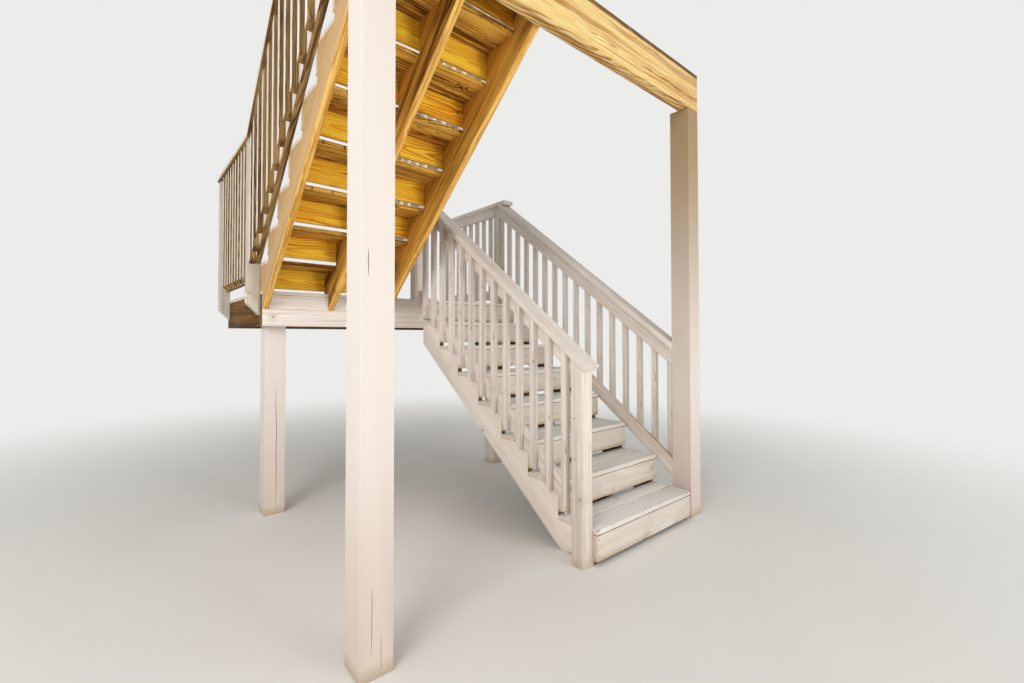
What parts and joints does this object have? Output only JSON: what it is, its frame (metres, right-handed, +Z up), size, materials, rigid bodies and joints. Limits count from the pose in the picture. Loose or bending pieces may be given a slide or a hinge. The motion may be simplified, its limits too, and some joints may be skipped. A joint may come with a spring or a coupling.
{
  "type": "wooden deck stairs",
  "caption": "Timber deck stairs that turn back at a landing: cut stringers, board treads and risers with open slots, raked guards and a header beam on tall posts.",
  "frame": {"origin": "on the ground, in the middle of the plan's bounding box", "axes": "+Z up; +Y from the foot of the lower flight to the wall behind the landing; +X from the upper flight to the lower flight"},
  "size_m": [2.488, 2.994, 3.9548],
  "materials": {
    "painted_wood": "worn off-white paint on sawn softwood",
    "bare_wood": "bare treated softwood, golden brown"
  },
  "bodies": {
    "root": {"centre_newels": "painted_wood", "deck_posts": "painted_wood", "header_beam": "bare_wood", "header_decking": "bare_wood", "landing_decking": "painted_wood", "landing_front_rim": "painted_wood", "landing_joists": "bare_wood", "landing_ledger": "bare_wood", "landing_left_balusters": "painted_wood", "landing_left_rails": "painted_wood", "landing_newels": "painted_wood", "landing_posts": "painted_wood", "landing_right_balusters": "painted_wood", "landing_right_rails": "painted_wood", "landing_side_rims": "painted_wood", "lower_left_balusters": "painted_wood", "lower_left_rails": "painted_wood", "lower_newel": "painted_wood", "lower_right_balusters": "painted_wood", "lower_right_rails": "painted_wood", "lower_risers": "painted_wood", "lower_stringer_left": "painted_wood", "lower_stringer_middle": "bare_wood", "lower_stringer_right": "bare_wood", "lower_tread_1": "painted_wood", "lower_tread_2": "painted_wood", "lower_tread_3": "painted_wood", "lower_tread_4": "painted_wood", "lower_tread_5": "painted_wood", "lower_tread_6": "painted_wood", "lower_tread_7": "painted_wood", "top_newels": "painted_wood", "upper_left_balusters": "painted_wood", "upper_left_rails": "painted_wood", "upper_right_balusters": "painted_wood", "upper_right_rails": "painted_wood", "upper_risers": "painted_wood", "upper_stringer_left": "painted_wood", "upper_stringer_middle": "bare_wood", "upper_stringer_right": "bare_wood", "upper_tread_1": "painted_wood", "upper_tread_2": "painted_wood", "upper_tread_3": "painted_wood", "upper_tread_4": "painted_wood", "upper_tread_5": "painted_wood", "upper_tread_6": "painted_wood", "upper_tread_7": "painted_wood"}
  },
  "joints": []
}
